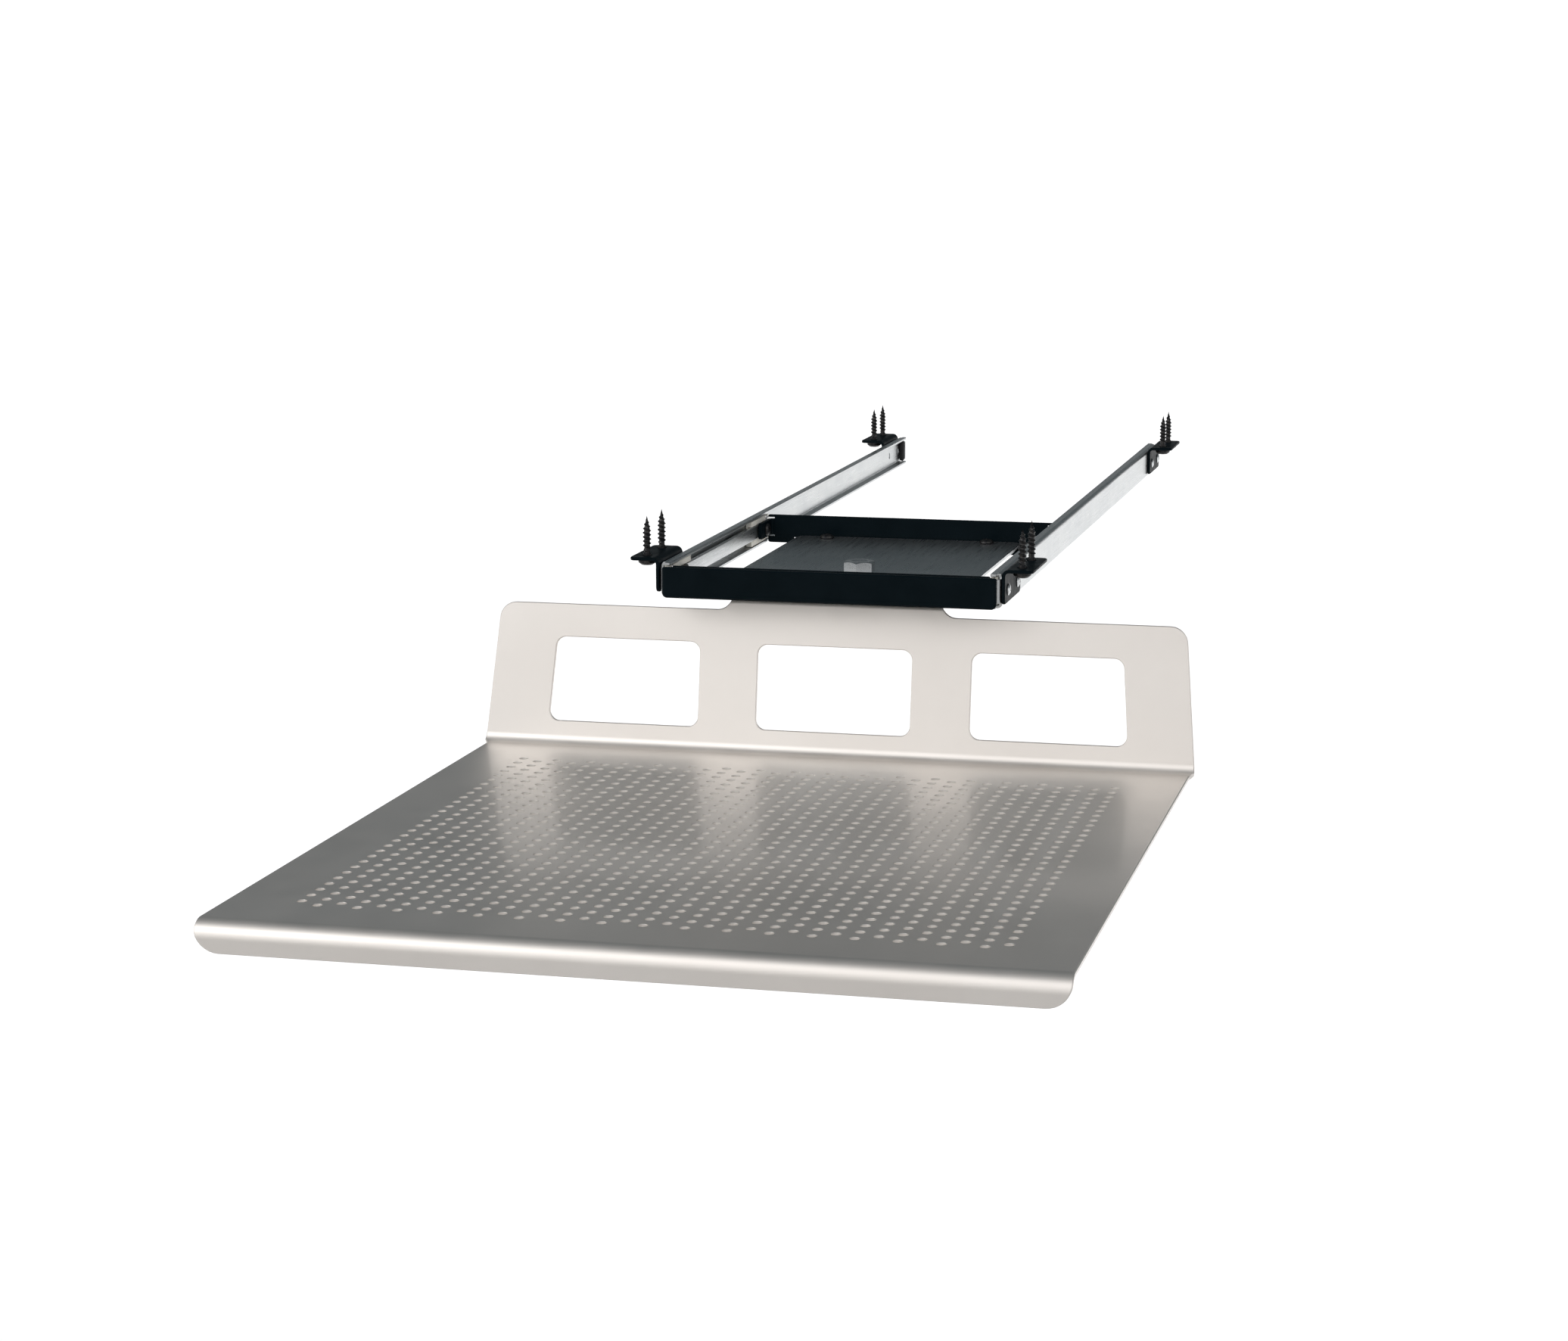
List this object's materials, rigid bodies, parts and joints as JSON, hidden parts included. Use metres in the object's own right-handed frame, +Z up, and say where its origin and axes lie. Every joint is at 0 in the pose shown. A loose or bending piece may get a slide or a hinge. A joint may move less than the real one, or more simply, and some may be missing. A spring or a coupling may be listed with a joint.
{
  "type": "under desk drawer",
  "caption": "Perforated laptop tray with a three-window back panel, on a swivel and a carriage that runs in tracks under a desk top.",
  "frame": {"origin": "on the underside of the desk top, midway between the two tracks, level with their front ends", "axes": "+X to the right as seen by the person at the desk, +Y back under the desk, +Z up; the tray is pulled out and straight"},
  "size_m": [0.3248, 0.846, 0.1182],
  "materials": {
    "satin_steel_sheet": "fine satin, lightly blasted, semi-bright",
    "black_steel": "satin black coating with a cool tint",
    "screw_steel": "black oxide, slightly oily",
    "zinc_steel": "bright zinc plate, slightly streaked",
    "bearing_steel": "polished",
    "nylon": "natural nylon",
    "bumper_rubber": "matt black"
  },
  "bodies": {
    "rails": {"bracket_front_left": "black_steel", "bracket_front_right": "black_steel", "bracket_rear_left": "black_steel", "bracket_rear_right": "black_steel", "front_cross_bar": "black_steel", "rear_bumper_left": "bumper_rubber", "rear_bumper_right": "bumper_rubber", "rivet_front_1_left": "zinc_steel", "rivet_front_1_right": "zinc_steel", "rivet_front_2_left": "zinc_steel", "rivet_front_2_right": "zinc_steel", "rivet_rear_1_left": "zinc_steel", "rivet_rear_1_right": "zinc_steel", "rivet_rear_2_left": "zinc_steel", "rivet_rear_2_right": "zinc_steel", "track_left": "zinc_steel", "track_right": "zinc_steel", "wood_screw_front_1_left": "screw_steel", "wood_screw_front_1_right": "screw_steel", "wood_screw_front_2_left": "screw_steel", "wood_screw_front_2_right": "screw_steel", "wood_screw_rear_1_left": "screw_steel", "wood_screw_rear_1_right": "screw_steel", "wood_screw_rear_2_left": "screw_steel", "wood_screw_rear_2_right": "screw_steel"},
    "carriage": {"ball_carrier_front_left": "nylon", "ball_carrier_front_right": "nylon", "ball_carrier_rear_left": "nylon", "ball_carrier_rear_right": "nylon", "ball_front_lower_left": "bearing_steel", "ball_front_lower_right": "bearing_steel", "ball_front_upper_left": "bearing_steel", "ball_front_upper_right": "bearing_steel", "ball_rear_lower_left": "bearing_steel", "ball_rear_lower_right": "bearing_steel", "ball_rear_upper_left": "bearing_steel", "ball_rear_upper_right": "bearing_steel", "carriage_front_bar": "black_steel", "carriage_rear_bar": "black_steel", "lock_nut": "zinc_steel", "pivot_bolt": "zinc_steel", "plate_screw_front_left": "screw_steel", "plate_screw_front_right": "screw_steel", "plate_screw_rear_left": "screw_steel", "plate_screw_rear_right": "screw_steel", "pressure_plate": "zinc_steel", "runner_left": "zinc_steel", "runner_right": "zinc_steel", "runner_screw_front_left": "screw_steel", "runner_screw_front_right": "screw_steel", "runner_screw_rear_left": "screw_steel", "runner_screw_rear_right": "screw_steel", "spring_washer": "bearing_steel", "swivel_plate": "zinc_steel"},
    "swivel_tray": {"lower_glide_disc": "nylon", "tray": "satin_steel_sheet", "upper_glide_disc": "nylon"}
  },
  "joints": [
    {"name": "carriage_slide", "type": "slide", "parent": "rails", "child": "carriage", "axis": [0, 1, 0], "range_m": [0, 0.33]},
    {"name": "tray_swivel", "type": "hinge", "parent": "carriage", "child": "swivel_tray", "pos_m": [0, 0.064, -0.0182], "axis": [0, 0, 1], "range_deg": [-180, 180]}
  ]
}
